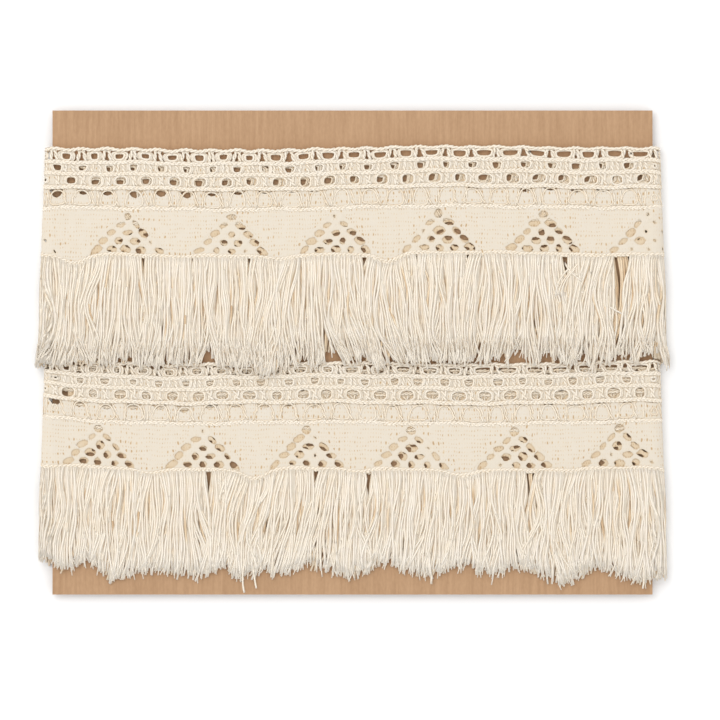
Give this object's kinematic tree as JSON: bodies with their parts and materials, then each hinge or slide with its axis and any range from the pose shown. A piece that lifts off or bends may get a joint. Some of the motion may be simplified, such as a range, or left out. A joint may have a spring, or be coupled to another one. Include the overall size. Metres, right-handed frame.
{
  "type": "macrame fringe trim wound on a card",
  "caption": "Cream cotton lace trim with a cut fringe, wound in two rows round a plain kraft card that lies on its back.",
  "frame": {"origin": "bottom centre of the bounding box, on the surface that the wound card rests on", "axes": "+X along the rows to the right, +Y up the card from the fringe to the heading, +Z out of the card's front, away from the surface"},
  "size_m": [0.3151, 0.242, 0.0093],
  "materials": {
    "kraft": "matt uncoated brown board with faint fibre streaks",
    "cotton": "matt undyed cotton yarn, worked as open lace",
    "cotton_cut": "matt undyed cotton yarn, cut and a little frayed at its ends"
  },
  "bodies": {
    "root": {"card": "kraft", "heading": "cotton", "fringe": "cotton_cut"}
  },
  "joints": []
}
